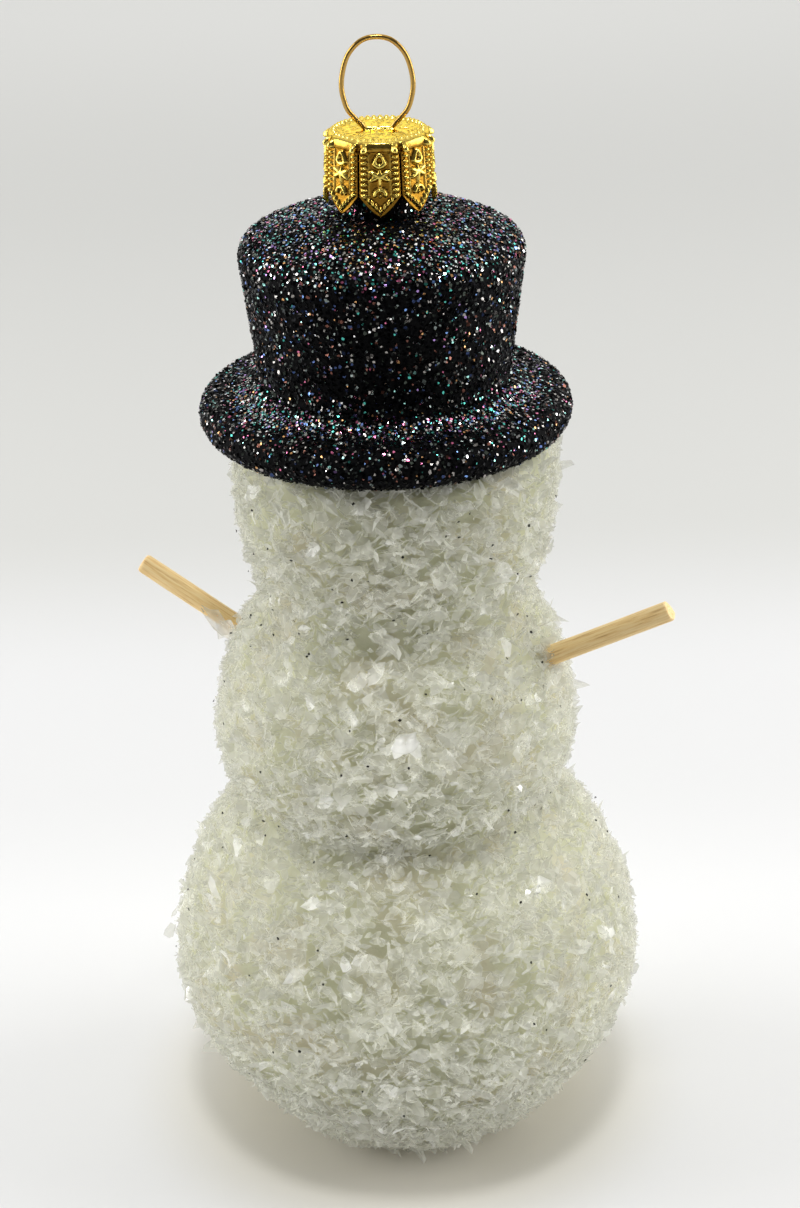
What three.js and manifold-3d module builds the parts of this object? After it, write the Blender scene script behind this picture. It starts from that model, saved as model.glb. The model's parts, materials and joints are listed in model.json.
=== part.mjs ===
// A blown-glass snowman ornament: a frosted bulb of three balls, a black top hat,
// a pressed crown cap, a wire hanger and two stick arms. Millimetres, +Z up.
// The origin is the centre of the flat base, and the arms point along -X and +X.

import * as THREE from "three";
import { mergeVertices } from "three/addons/utils/BufferGeometryUtils.js";
import Module from "manifold-3d";

const wasm = await Module();
wasm.setup();

// ---------------------------------------------------------------- driving dimensions

const clearance = 0.3;

const bodyTop = 82;
const bodyRows = 42;
const bodySegments = 40;
const lobeBlend = 1.6;
const lobes = [
  { radius: 25.8, height: 19.6, below: 21.8, above: 27.7 },
  { radius: 19.2, height: 48, below: 15.9, above: 24.5 },
  { radius: 16.8, height: 80.5, below: 33.8, above: 4 },
];

const hatSegments = 44;
const hatOffset = -0.4;
const brim = { radius: 16.7, height: 84.3, lip: 2 };
const crownFoot = { radius: 12.65, height: 88.8 };
const crownShoulder = { radius: 14, height: 100.2, round: 2.4 };
const domeEdge = { radius: 4.4, height: 104.6 };
const neck = { radius: 3.75, top: 111.7, bore: 1.9, boreDepth: 6.5 };

const cap = {
  tipRadius: 5.55,
  tipHeight: 105.3,
  edgeRadius: 5.15,
  edgeHeight: 111.5,
  topRadius: 4.6,
  topHeight: 112.4,
  sheet: 0.4,
};
const petalCount = 8;
const slit = { width: 0.24, height: 5.7, notchWidth: 4, notchHeight: 1.9 };

const wireRadius = 0.25;
const legHoleRadius = 0.6;
const loop = { width: 6.8, height: 8.8, widest: 4.2, legGap: 2.5, legDepth: 5.5 };
const loopTurn = THREE.MathUtils.degToRad(19);

const stickRadius = 1.08;
const stickSides = 20;
const socketDepth = 3;
const sticks = [
  { name: "arm_left", side: -1, reach: 28.7, tipHeight: 63, rise: 30 },
  { name: "arm_right", side: 1, reach: 29.4, tipHeight: 65, rise: 29 },
];

// ---------------------------------------------------------------- solids and meshes

function solidFrom(geometry) {
  const bare = geometry.clone();
  bare.deleteAttribute("normal");
  bare.deleteAttribute("uv");
  const merged = mergeVertices(bare, 1e-5);
  const vertProperties = new Float32Array(merged.attributes.position.array);
  const triVerts = new Uint32Array(withoutSlivers(merged.index.array));
  return new wasm.Manifold(new wasm.Mesh({ numProp: 3, vertProperties, triVerts }));
}

function withoutSlivers(index) {
  const kept = [];
  for (let i = 0; i < index.length; i += 3) {
    const [a, b, c] = [index[i], index[i + 1], index[i + 2]];
    if (a !== b && b !== c && c !== a) kept.push(a, b, c);
  }
  return kept;
}

function geometryFrom(solid) {
  const mesh = solid.getMesh();
  const geometry = new THREE.BufferGeometry();
  geometry.setAttribute("position", new THREE.BufferAttribute(mesh.vertProperties, 3));
  geometry.setIndex(new THREE.BufferAttribute(mesh.triVerts, 1));
  geometry.computeVertexNormals();
  return geometry;
}

// Spins a profile of (radius, height) points about the Z axis.
function turned(points, segments) {
  const geometry = new THREE.LatheGeometry(points, segments);
  geometry.rotateX(Math.PI / 2);
  return geometry;
}

function named(name, geometry, colour, roughness, metalness) {
  const material = new THREE.MeshStandardMaterial({ color: colour, roughness, metalness });
  const mesh = new THREE.Mesh(geometry, material);
  mesh.name = name;
  return mesh;
}

// ---------------------------------------------------------------- body

function lobeRadius(lobe, height) {
  const reach = height < lobe.height ? lobe.below : lobe.above;
  const share = (height - lobe.height) / reach;
  return lobe.radius * Math.sqrt(Math.max(0, 1 - share * share));
}

// The larger of two radii, with the crease between them rounded over the blend.
function blended(a, b) {
  const share = Math.max(0, lobeBlend - Math.abs(a - b)) / lobeBlend;
  return Math.max(a, b) + (share * share * lobeBlend) / 4;
}

function bodyRadius(height) {
  return lobes.map((lobe) => lobeRadius(lobe, height)).reduce(blended);
}

function bodyProfile() {
  const points = [new THREE.Vector2(0, 0)];
  for (let row = 0; row <= bodyRows; row += 1) {
    const height = (bodyTop * (1 - Math.cos((Math.PI * row) / bodyRows))) / 2;
    points.push(new THREE.Vector2(bodyRadius(height), height));
  }
  points.push(new THREE.Vector2(0, bodyTop));
  return points;
}

// A round bar that ends at the stick's tip and runs back down the stick's line.
function bar(stick, radius, length) {
  const rise = THREE.MathUtils.degToRad(stick.rise);
  const direction = new THREE.Vector3(stick.side * Math.cos(rise), 0, Math.sin(rise));
  const tip = new THREE.Vector3(stick.side * stick.reach, 0, stick.tipHeight);
  const geometry = new THREE.CylinderGeometry(radius, radius, length, stickSides);
  geometry.translate(0, -length / 2, 0);
  const turn = new THREE.Quaternion().setFromUnitVectors(new THREE.Vector3(0, 1, 0), direction);
  geometry.applyQuaternion(turn);
  geometry.translate(tip.x, tip.y, tip.z);
  return geometry;
}

// The length of the stick's centre line from its tip to the skin of the body.
function exposedLength(stick) {
  const rise = THREE.MathUtils.degToRad(stick.rise);
  const step = 0.05;
  let length = 0;
  let radius = stick.reach;
  let height = stick.tipHeight;
  while (radius > bodyRadius(height)) {
    length += step;
    radius -= step * Math.cos(rise);
    height -= step * Math.sin(rise);
  }
  return length;
}

function buildBody() {
  let solid = solidFrom(turned(bodyProfile(), bodySegments));
  for (const stick of sticks) {
    const length = exposedLength(stick) + socketDepth + clearance;
    solid = solid.subtract(solidFrom(bar(stick, stickRadius + clearance, length)));
  }
  return named("body", geometryFrom(solid), 0xd3d5c8, 0.45, 0);
}

// ---------------------------------------------------------------- hat

function buildHat() {
  const underside = brim.height - brim.lip;
  const outline = new THREE.Path();
  outline.moveTo(0, underside);
  outline.lineTo(brim.radius, underside);
  outline.absarc(brim.radius, brim.height, brim.lip, -Math.PI / 2, Math.PI / 2, false);
  outline.quadraticCurveTo(
    crownFoot.radius + 0.2, brim.height + brim.lip + 0.2, crownFoot.radius, crownFoot.height,
  );
  const shoulderCentre = crownShoulder.radius - crownShoulder.round;
  outline.lineTo(crownShoulder.radius, crownShoulder.height);
  outline.absarc(shoulderCentre, crownShoulder.height, crownShoulder.round, 0, Math.PI * 0.42, false);
  outline.quadraticCurveTo(domeEdge.radius + 3.5, domeEdge.height, domeEdge.radius, domeEdge.height);
  outline.lineTo(neck.radius, domeEdge.height + 0.5);
  outline.lineTo(neck.radius, neck.top);
  outline.lineTo(neck.bore, neck.top);
  outline.lineTo(neck.bore, neck.top - neck.boreDepth);
  outline.lineTo(0, neck.top - neck.boreDepth);
  return named("hat", turned(outline.getPoints(4), hatSegments), 0x141416, 0.35, 0);
}

// ---------------------------------------------------------------- cap

function capProfile() {
  const outside = [
    [cap.tipRadius, cap.tipHeight],
    [cap.edgeRadius, cap.edgeHeight],
    [cap.topRadius, cap.topHeight],
    [0, cap.topHeight],
  ];
  const inside = [
    [0, cap.topHeight - cap.sheet],
    [cap.topRadius - cap.sheet / 2, cap.topHeight - cap.sheet],
    [cap.edgeRadius - cap.sheet, cap.edgeHeight - cap.sheet / 2],
    [cap.tipRadius - cap.sheet, cap.tipHeight],
  ];
  return [...inside, ...outside].map(([radius, height]) => new THREE.Vector2(radius, height));
}

// The gap between two petals: a V at their tips that narrows to a thin slit.
function slitCutter(turn) {
  const outline = new THREE.Shape();
  outline.moveTo(-slit.notchWidth / 2, cap.tipHeight - 1);
  outline.lineTo(slit.notchWidth / 2, cap.tipHeight - 1);
  outline.lineTo(slit.notchWidth / 2, cap.tipHeight);
  outline.lineTo(slit.width / 2, cap.tipHeight + slit.notchHeight);
  outline.lineTo(slit.width / 2, cap.tipHeight + slit.height);
  outline.lineTo(-slit.width / 2, cap.tipHeight + slit.height);
  outline.lineTo(-slit.width / 2, cap.tipHeight + slit.notchHeight);
  outline.lineTo(-slit.notchWidth / 2, cap.tipHeight);
  outline.closePath();
  const geometry = new THREE.ExtrudeGeometry(outline, { depth: cap.tipRadius + 1, bevelEnabled: false });
  geometry.rotateX(Math.PI / 2);
  geometry.rotateZ(turn);
  return geometry;
}

function legHole(side) {
  const hole = new THREE.CylinderGeometry(legHoleRadius, legHoleRadius, 2, 12);
  hole.rotateX(Math.PI / 2);
  hole.translate((side * loop.legGap) / 2, 0, cap.topHeight);
  hole.rotateZ(loopTurn);
  return hole;
}

function buildCap() {
  let solid = solidFrom(turned(capProfile(), 64));
  for (let index = 0; index < petalCount; index += 1) {
    const turn = loopTurn + ((index + 0.5) * 2 * Math.PI) / petalCount;
    solid = solid.subtract(solidFrom(slitCutter(turn)));
  }
  for (const side of [-1, 1]) solid = solid.subtract(solidFrom(legHole(side)));
  return named("cap", geometryFrom(solid), 0xd9a441, 0.28, 1);
}

// ---------------------------------------------------------------- hanger

function buildHanger() {
  const foot = cap.topHeight;
  const leg = loop.legGap / 2;
  const half = loop.width / 2;
  const rightHalf = [
    [leg, -loop.legDepth], [leg, -loop.legDepth / 3], [leg + 0.05, 0], [leg + 0.95, 1.1],
    [half * 0.88, loop.widest * 0.52], [half, loop.widest],
    [half * 0.8, loop.height * 0.78], [half * 0.42, loop.height * 0.955],
  ];
  const leftHalf = rightHalf.map(([across, up]) => [-across, up]).reverse();
  const route = [...rightHalf, [0, loop.height], ...leftHalf];
  const path = new THREE.CatmullRomCurve3(
    route.map(([across, up]) => new THREE.Vector3(across, 0, foot + up)), false, "centripetal",
  );
  const section = new THREE.Shape();
  section.absarc(0, 0, wireRadius, 0, 2 * Math.PI, false);
  const options = { steps: 72, curveSegments: 4, extrudePath: path };
  const geometry = new THREE.ExtrudeGeometry(section, options);
  geometry.rotateZ(loopTurn);
  return named("hanger", geometry, 0xd9a441, 0.25, 1);
}

// ---------------------------------------------------------------- arms

function buildArm(stick) {
  const length = exposedLength(stick) + socketDepth;
  return named(stick.name, bar(stick, stickRadius, length), 0xb98f5e, 0.7, 0);
}

// ---------------------------------------------------------------- the whole ornament

// The hat sits a touch off the body's axis, and carries the cap and the hanger.
const headwear = new THREE.Group();
headwear.add(buildHat(), buildCap(), buildHanger());
headwear.position.x = hatOffset;

const snowman = new THREE.Group();
snowman.add(buildBody(), headwear, ...sticks.map(buildArm));

export default snowman;
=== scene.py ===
"""A blown-glass snowman ornament: frosted body, glitter hat, gold cap and wire, stick arms."""

import json
import math

import bpy
import numpy as np
from bpy.props import FloatProperty, FloatVectorProperty, IntProperty, PointerProperty
from mathutils import Matrix, Vector, noise

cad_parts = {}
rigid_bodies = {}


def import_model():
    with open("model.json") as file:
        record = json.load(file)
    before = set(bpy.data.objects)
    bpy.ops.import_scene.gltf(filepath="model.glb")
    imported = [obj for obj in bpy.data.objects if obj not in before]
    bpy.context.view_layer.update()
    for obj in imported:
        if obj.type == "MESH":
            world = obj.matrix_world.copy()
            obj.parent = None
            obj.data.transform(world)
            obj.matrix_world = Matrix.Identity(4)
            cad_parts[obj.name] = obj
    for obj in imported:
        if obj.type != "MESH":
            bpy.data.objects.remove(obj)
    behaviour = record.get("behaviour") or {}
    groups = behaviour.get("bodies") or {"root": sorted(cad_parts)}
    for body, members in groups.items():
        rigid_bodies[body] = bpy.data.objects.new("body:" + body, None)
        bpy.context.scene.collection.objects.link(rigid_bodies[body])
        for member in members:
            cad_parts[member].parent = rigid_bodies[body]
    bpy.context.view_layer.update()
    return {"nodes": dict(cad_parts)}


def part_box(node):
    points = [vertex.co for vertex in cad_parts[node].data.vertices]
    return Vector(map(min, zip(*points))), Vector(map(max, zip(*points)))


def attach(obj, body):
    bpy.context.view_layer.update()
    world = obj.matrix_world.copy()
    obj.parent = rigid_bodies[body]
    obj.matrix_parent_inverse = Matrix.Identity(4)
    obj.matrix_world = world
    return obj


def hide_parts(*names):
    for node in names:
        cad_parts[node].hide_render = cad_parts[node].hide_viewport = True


bl_info = {
    "name": "Glass snowman ornament",
    "version": (1, 0, 0),
    "blender": (4, 5, 0),
    "location": "View3D > Sidebar > Snowman",
    "description": "Builds the finish of a frosted glass snowman around its packed frame",
    "category": "Object",
}

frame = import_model()

MM = 0.001
PER_SQUARE_CM = 1e4
HEADWEAR_TURN = math.radians(19)
VIEW_TURN = math.radians(18.9)
TOWARDS_VIEWER = (math.sin(VIEW_TURN), -math.cos(VIEW_TURN), 0)
BRIM_HEIGHT = 5.5 * MM
PETALS = 8


# ---- sizes taken from the frame


def plane_outline(node):
    """The outline of a turned node as (radius, height) pairs in metres, bottom first, and its axis."""
    mesh = frame["nodes"][node].data
    low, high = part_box(node)
    axis_x = (low[0] + high[0]) / 2
    grid = 1e-6
    keys = {}
    for vertex in mesh.vertices:
        place = vertex.co
        if abs(place.x - axis_x) < 2 * grid and place.y > -2 * grid:
            keys[vertex.index] = (round(place.y / grid), round(place.z / grid))
    links = {key: set() for key in keys.values()}
    for edge in mesh.edges:
        first, second = (keys.get(v) for v in edge.vertices)
        if first is not None and second is not None and first != second:
            links[first].add(second)
            links[second].add(first)
    here = min(links, key=lambda key: (key[1], key[0]))
    outline = [here]
    while True:
        onward = [key for key in links[here] if key not in outline]
        if not onward:
            break
        here = min(onward, key=lambda key: math.dist(key, here))
        outline.append(here)
    return np.array(outline) * grid, axis_x


def smoothed(points, step):
    """Points about a step apart on a curve that runs through the given ones."""
    before, after = 2 * points[0] - points[1], 2 * points[-1] - points[-2]
    padded = np.vstack([before, points, after])
    placed = []
    for a, b, c, d in zip(padded, padded[1:], padded[2:], padded[3:]):
        count = max(1, int(np.linalg.norm(c - b) / step))
        for share in np.arange(count) / count:
            bend = 2 * b + (c - a) * share + (2 * a - 5 * b + 4 * c - d) * share**2
            placed.append(0.5 * (bend + (3 * b - a - 3 * c + d) * share**3))
    placed.append(points[-1])
    return np.array(placed)


def inset(outline, depth):
    """The outline moved towards its inside by the depth given at each point."""
    along = np.gradient(outline, axis=0)
    along /= np.linalg.norm(along, axis=1, keepdims=True)
    outward = np.stack([along[:, 1], -along[:, 0]], axis=1)
    return outline - outward * depth[:, None]


def bell(value, centre, width):
    """1 at the centre, falling off smoothly over the width."""
    return np.exp(-(((value - centre) / width) ** 2))


# ---- mesh and object helpers


def new_object(name, mesh, smooth=True):
    piece = bpy.data.objects.new(name, mesh)
    bpy.context.scene.collection.objects.link(piece)
    if smooth:
        mesh.shade_smooth()
    return piece


def finish_piece(piece, material, replaces=None):
    piece.data.materials.clear()
    piece.data.materials.append(material)
    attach(piece, "root")
    if replaces:
        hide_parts(replaces)


def mesh_from(name, vertices, faces):
    mesh = bpy.data.meshes.new(name)
    mesh.from_pydata([tuple(v) for v in vertices], [], [tuple(f) for f in faces])
    mesh.validate()
    mesh.update()
    return mesh


def ring_faces(start, count):
    """Faces between the closed ring of points that begins at start and the one after it."""
    onward = [(k + 1) % count for k in range(count)]
    return [(start + k, start + n, start + count + n, start + count + k) for k, n in enumerate(onward)]


def fan_faces(start, count, middle):
    """Faces between a closed ring of points and one point."""
    return [(start + k, start + (k + 1) % count, middle) for k in range(count)]


def turned_mesh(name, outline, axis_x, segments, shift=None):
    """Spins an outline whose two ends lie on the axis; shift moves each height sideways."""
    angles = np.linspace(0, 2 * math.pi, segments, endpoint=False)
    rings = outline[1:-1]
    offset = shift(rings[:, 1]) if shift else np.zeros(len(rings))
    x = axis_x + offset[:, None] + rings[:, :1] * np.cos(angles)
    y = rings[:, :1] * np.sin(angles)
    z = np.repeat(rings[:, 1:], segments, axis=1)
    vertices = np.stack([x, y, z], axis=-1).reshape(-1, 3)
    poles = [[axis_x + offset[0], 0, outline[0, 1]], [axis_x + offset[-1], 0, outline[-1, 1]]]
    vertices = np.vstack([vertices, poles])
    faces = []
    bottom = len(vertices) - 2
    last = (len(rings) - 1) * segments
    for spoke in range(segments):
        onward = (spoke + 1) % segments
        faces.append((bottom, onward, spoke))
        faces.append((bottom + 1, last + spoke, last + onward))
        for row in range(0, last, segments):
            above = row + segments
            faces.append((row + spoke, row + onward, above + onward, above + spoke))
    return mesh_from(name, vertices, faces)


def vertex_values(mesh, field="co"):
    """The vertices' places, or their normals, one row each."""
    values = np.empty(len(mesh.vertices) * 3)
    mesh.vertices.foreach_get(field, values)
    return values.reshape(-1, 3)


def put_vertex_places(mesh, places):
    mesh.vertices.foreach_set("co", places.ravel())
    mesh.update()


def noise_at(places, scale):
    return np.array([noise.noise(Vector(place) * scale) for place in places])


def store(mesh, name, values, kind="FLOAT"):
    """Keeps a value at each vertex under a name that materials and node trees can read."""
    if name in mesh.attributes:
        mesh.attributes.remove(mesh.attributes[name])
    attribute = mesh.attributes.new(name, kind, "POINT")
    field = "value" if kind == "FLOAT" else "vector"
    attribute.data.foreach_set(field, np.asarray(values, dtype=np.float32).ravel())


# ---- node trees


class Bench:
    """A node tree with short calls for its nodes and their inputs."""

    def __init__(self, tree):
        self.nodes = tree.nodes
        self.links = tree.links

    def feed(self, socket, value):
        """Links a socket to another node's output, or sets its value."""
        if isinstance(value, bpy.types.NodeSocket):
            self.links.new(value, socket)
        else:
            socket.default_value = value

    def add(self, kind, *inputs, **choices):
        """A new node: choices are its own settings, inputs are (socket, value) pairs."""
        node = self.nodes.new(kind)
        for name, value in choices.items():
            setattr(node, name, value)
        for key, value in inputs:
            self.feed(node.inputs[key], value)
        return node


class Routine(Bench):
    """A geometry node tree with named inputs, whose sockets are in given."""

    def __init__(self, name, inputs):
        self.group = bpy.data.node_groups.new(name, "GeometryNodeTree")
        super().__init__(self.group)
        sockets = self.group.interface
        for label, kind in [("Geometry", "Geometry"), *inputs]:
            sockets.new_socket(label, in_out="INPUT", socket_type=f"NodeSocket{kind}")
        sockets.new_socket("Geometry", in_out="OUTPUT", socket_type="NodeSocketGeometry")
        self.given = self.nodes.new("NodeGroupInput").outputs

    def random(self, kind, low, high, salt):
        """A random value; salt keeps its draws apart from the tree's other ones."""
        first, output = {"FLOAT_VECTOR": (0, 0), "FLOAT": (2, 1), "INT": (4, 2)}[kind]
        seed = self.add("ShaderNodeMath", (0, self.given["Seed"]), (1, salt)).outputs[0]
        inputs = ((first, low), (first + 1, high), ("Seed", seed))
        return self.add("FunctionNodeRandomValue", *inputs, data_type=kind).outputs[output]

    def finished(self, geometry):
        """Ends the tree in real geometry that wears the material, and returns it."""
        real = self.add("GeometryNodeRealizeInstances", (0, geometry))
        coated = self.add(
            "GeometryNodeSetMaterial", ("Geometry", real.outputs[0]), ("Material", self.given["Material"])
        )
        self.add("NodeGroupOutput", (0, coated.outputs[0]))
        return self.group


def run_tree(host, tree, values, name):
    """Runs a tree on the host and returns the result as a plain mesh."""
    modifier = host.modifiers.new(tree.name, "NODES")
    modifier.node_group = tree
    for item in tree.interface.items_tree:
        if item.item_type == "SOCKET" and item.in_out == "INPUT" and item.name in values:
            modifier[item.identifier] = values[item.name]
    graph = bpy.context.evaluated_depsgraph_get()
    evaluated = host.evaluated_get(graph)
    mesh = bpy.data.meshes.new_from_object(evaluated, preserve_all_data_layers=True, depsgraph=graph)
    mesh.name = name
    host.modifiers.remove(modifier)
    return mesh


def scatter_tree():
    """Strews shapes over a surface at random: Level lays them level before they are spun and tilted."""
    amounts = ("Density", "Smallest", "Largest", "Tilt", "Spin", "Level")
    bounds = ("Lowest lift", "Highest lift", "Lowest tint", "Highest tint")
    others = [("Shapes", "Collection"), ("Cover", "String"), ("Seed", "Int"), ("Material", "Material")]
    tree = Routine("strewn_shapes", others + [(label, "Float") for label in amounts + bounds])
    given, add = tree.given, tree.add

    cover = add("GeometryNodeInputNamedAttribute", ("Name", given["Cover"])).outputs["Attribute"]
    density = add("ShaderNodeMath", (0, given["Density"]), (1, cover), operation="MULTIPLY")
    strewn = add(
        "GeometryNodeDistributePointsOnFaces",
        ("Mesh", given["Geometry"]),
        ("Density", density.outputs[0]),
        ("Seed", given["Seed"]),
    ).outputs
    lift = tree.random("FLOAT", given["Lowest lift"], given["Highest lift"], 11)
    rise = add("ShaderNodeVectorMath", (0, strewn["Normal"]), ("Scale", lift), operation="SCALE")
    lifted = add(
        "GeometryNodeSetPosition", ("Geometry", strewn["Points"]), ("Offset", rise.outputs[0])
    )

    upright = (0, 0, 1)
    sideways = add("ShaderNodeVectorMath", (0, upright), (1, strewn["Normal"]), operation="CROSS_PRODUCT")
    level = add(
        "FunctionNodeAlignRotationToVector",
        ("Rotation", strewn["Rotation"]),
        ("Factor", given["Level"]),
        ("Vector", sideways.outputs[0]),
        axis="X",
        pivot_axis="Z",
    )
    span = add("ShaderNodeCombineXYZ", ("X", given["Tilt"]), ("Y", given["Tilt"]), ("Z", given["Spin"]))
    toss = tree.random("FLOAT_VECTOR", (-1, -1, -1), (1, 1, 1), 23)
    tilts = add("ShaderNodeVectorMath", (0, toss), (1, span.outputs[0]), operation="MULTIPLY")
    turn = add("FunctionNodeEulerToRotation", (0, tilts.outputs[0]))
    turned = add(
        "FunctionNodeRotateRotation", (0, level.outputs[0]), (1, turn.outputs[0]), rotation_space="LOCAL"
    )

    shapes = add(
        "GeometryNodeCollectionInfo",
        ("Collection", given["Shapes"]),
        ("Separate Children", True),
        ("Reset Children", True),
    )
    placed = add(
        "GeometryNodeInstanceOnPoints",
        ("Points", lifted.outputs[0]),
        ("Instance", shapes.outputs[0]),
        ("Pick Instance", True),
        ("Instance Index", tree.random("INT", 0, 999, 37)),
        ("Rotation", turned.outputs[0]),
        ("Scale", tree.random("FLOAT", given["Smallest"], given["Largest"], 41)),
    )
    tinted = add(
        "GeometryNodeStoreNamedAttribute",
        ("Name", "tint"),
        ("Geometry", placed.outputs[0]),
        ("Value", tree.random("FLOAT", given["Lowest tint"], given["Highest tint"], 53)),
        data_type="FLOAT",
        domain="INSTANCE",
    )
    return tree.finished(tinted.outputs[0])


def strewn_piece(
    name, slot, surface, tree, shapes, density, sizes, tilt, spin, level, lift, tint, seed, material
):
    """Strews shapes over a mesh; density is per square centimetre, sizes and lift in millimetres."""
    host = new_object(f"host_{name}", surface)
    values = {
        "Shapes": shapes,
        "Cover": "cover",
        "Density": density * PER_SQUARE_CM,
        "Smallest": sizes[0] * MM,
        "Largest": sizes[1] * MM,
        "Tilt": math.radians(tilt),
        "Spin": math.radians(spin),
        "Level": level,
        "Lowest lift": lift[0] * MM,
        "Highest lift": lift[1] * MM,
        "Lowest tint": tint[0],
        "Highest tint": tint[1],
        "Seed": seed,
        "Material": material,
    }
    mesh = run_tree(host, tree, values, name)
    bpy.data.objects.remove(host)
    places = vertex_values(mesh)
    places[:, 2] = np.maximum(places[:, 2], 0.02 * MM)
    put_vertex_places(mesh, places)
    piece = new_object(name, mesh, smooth=False)
    finish_piece(piece, material)
    return piece


def wire_tree():
    """Gives a route a round section with closed ends."""
    tree = Routine("round_wire", [("Radius", "Float"), ("Sides", "Int"), ("Material", "Material")])
    given, add = tree.given, tree.add
    section = add(
        "GeometryNodeCurvePrimitiveCircle", ("Resolution", given["Sides"]), ("Radius", given["Radius"])
    )
    route = add("GeometryNodeMeshToCurve", (0, given["Geometry"]))
    drawn = add(
        "GeometryNodeCurveToMesh",
        ("Curve", route.outputs[0]),
        ("Profile Curve", section.outputs[0]),
        ("Fill Caps", True),
    )
    return tree.finished(drawn.outputs[0])


# ---- materials


class Recipe(Bench):
    """A material's node tree, with short calls for what the finishes share."""

    def __init__(self, name):
        self.material = bpy.data.materials.new(name)
        self.material.use_nodes = True
        super().__init__(self.material.node_tree)
        self.shader = self.nodes["Principled BSDF"]

    def painted(self, **inputs):
        """Feeds the shader's own sockets and returns the material."""
        for label, value in inputs.items():
            self.feed(self.shader.inputs[label.replace("_", " ")], value)
        return self.material

    def object_place(self):
        """The place on the piece in millimetres."""
        place = self.add("ShaderNodeTexCoord").outputs["Object"]
        return self.add("ShaderNodeMapping", ("Vector", place), ("Scale", (1000, 1000, 1000))).outputs[0]

    def kept(self, name, field="Fac"):
        return self.add("ShaderNodeAttribute", attribute_name=name).outputs[field]

    def noise(self, place, scale, detail=3.0, roughness=0.5):
        inputs = (("Vector", place), ("Scale", scale), ("Detail", detail), ("Roughness", roughness))
        return self.add("ShaderNodeTexNoise", *inputs).outputs["Fac"]

    def ramp(self, factor, stops, smooth=True):
        node = self.add("ShaderNodeValToRGB", ("Fac", factor))
        node.color_ramp.interpolation = "LINEAR" if smooth else "CONSTANT"
        elements = node.color_ramp.elements
        while len(elements) < len(stops):
            elements.new(0.5)
        for element, (position, colour) in zip(elements, stops):
            element.position = position
            element.color = (*colour, 1.0)
        return node.outputs["Color"]

    def math(self, operation, first, second):
        return self.add("ShaderNodeMath", (0, first), (1, second), operation=operation).outputs[0]

    def blend(self, factor, *colours):
        """Mixes two colours."""
        node = self.add("ShaderNodeMix", (0, factor), data_type="RGBA")
        for position, colour in zip((6, 7), colours):
            linked = isinstance(colour, bpy.types.NodeSocket)
            self.feed(node.inputs[position], colour if linked else (*colour, 1.0))
        return node.outputs[2]

    def spread(self, factor, low, high):
        inputs = (("Value", factor), ("To Min", low), ("To Max", high))
        return self.add("ShaderNodeMapRange", *inputs).outputs["Result"]

    def bump(self, height, depth):
        node = self.add("ShaderNodeBump", ("Height", height), ("Distance", depth), ("Strength", 1.0))
        self.painted(Normal=node.outputs[0])


def frosted_glass(settings):
    """Pale grey-green glass under the flakes, with warmer patches."""
    recipe = Recipe("frosted_glass")
    place = recipe.object_place()
    mottle = recipe.noise(place, 0.4, 4.0)
    green = recipe.ramp(mottle, [(0.3, settings.glass_low), (0.7, settings.glass_high)])
    patch = recipe.ramp(recipe.noise(place, 0.16, 2.0), [(0.48, (0, 0, 0)), (0.66, (0.8, 0.8, 0.8))])
    recipe.bump(recipe.noise(place, 3.0), 0.00006)
    return recipe.painted(
        Base_Color=recipe.blend(patch, green, settings.glass_warm),
        Roughness=recipe.spread(recipe.noise(place, 2.0), 0.3, 0.55),
    )


def snow_flakes(name, settings, clear, solid):
    """Thin half-clear flakes: the paler a flake is, the less it lets through; rims are whitest, a painted
    highlight of edges catching light, and they let less through.
    """
    recipe = Recipe(name)
    tint = recipe.kept("tint")
    tones = (settings.flake_low, settings.flake_mid, settings.flake_high, (0.96, 0.96, 0.94))
    stops = list(zip((0.0, 0.6, 0.95, 0.98), tones))
    # Painted highlight: the rim value blends each flake towards the whiter rim tone.
    rim = recipe.math("POWER", recipe.kept("rim"), 2.0)
    colour = recipe.blend(recipe.spread(rim, 0.0, 0.8), recipe.ramp(tint, stops), settings.flake_rim_highlight)
    glint = recipe.ramp(tint, [(0.0, (0, 0, 0)), (0.993, (1, 1, 1))], smooth=False)
    recipe.painted(Base_Color=colour, Roughness=recipe.spread(tint, 0.5, 0.2), Metallic=glint)
    surface = recipe.shader.outputs[0]
    glow = recipe.add("ShaderNodeBsdfTranslucent", ("Color", colour)).outputs[0]
    lit = recipe.add("ShaderNodeMixShader", (0, 0.45), (1, surface), (2, glow)).outputs[0]
    milky = recipe.spread(recipe.math("POWER", tint, 2.5), clear, solid)
    opaque = recipe.math("MAXIMUM", milky, recipe.spread(rim, clear, 0.7))
    nothing = recipe.add("ShaderNodeBsdfTransparent").outputs[0]
    see = recipe.add("ShaderNodeMixShader", (0, opaque), (1, nothing), (2, lit))
    recipe.feed(recipe.nodes["Material Output"].inputs["Surface"], see.outputs[0])
    return recipe.material


def black_chips():
    """Stray specks of the hat's glitter caught in the snow."""
    recipe = Recipe("black_chips")
    stops = [(0.0, (0.004, 0.004, 0.004)), (1.0, (0.02, 0.018, 0.015))]
    colour = recipe.ramp(recipe.kept("tint"), stops)
    return recipe.painted(Base_Color=colour, Roughness=0.6, Specular_IOR_Level=0.1)


def hat_black():
    """The near-black ground under the glitter."""
    recipe = Recipe("hat_black")
    grit = recipe.noise(recipe.object_place(), 4.0, 4.0)
    colour = recipe.ramp(grit, [(0.35, (0.0010, 0.0010, 0.0012)), (0.75, (0.0045, 0.0045, 0.0050))])
    recipe.bump(grit, 0.0001)
    rough = recipe.spread(grit, 0.6, 0.9)
    return recipe.painted(Base_Color=colour, Roughness=rough, Specular_IOR_Level=0.06)


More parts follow.
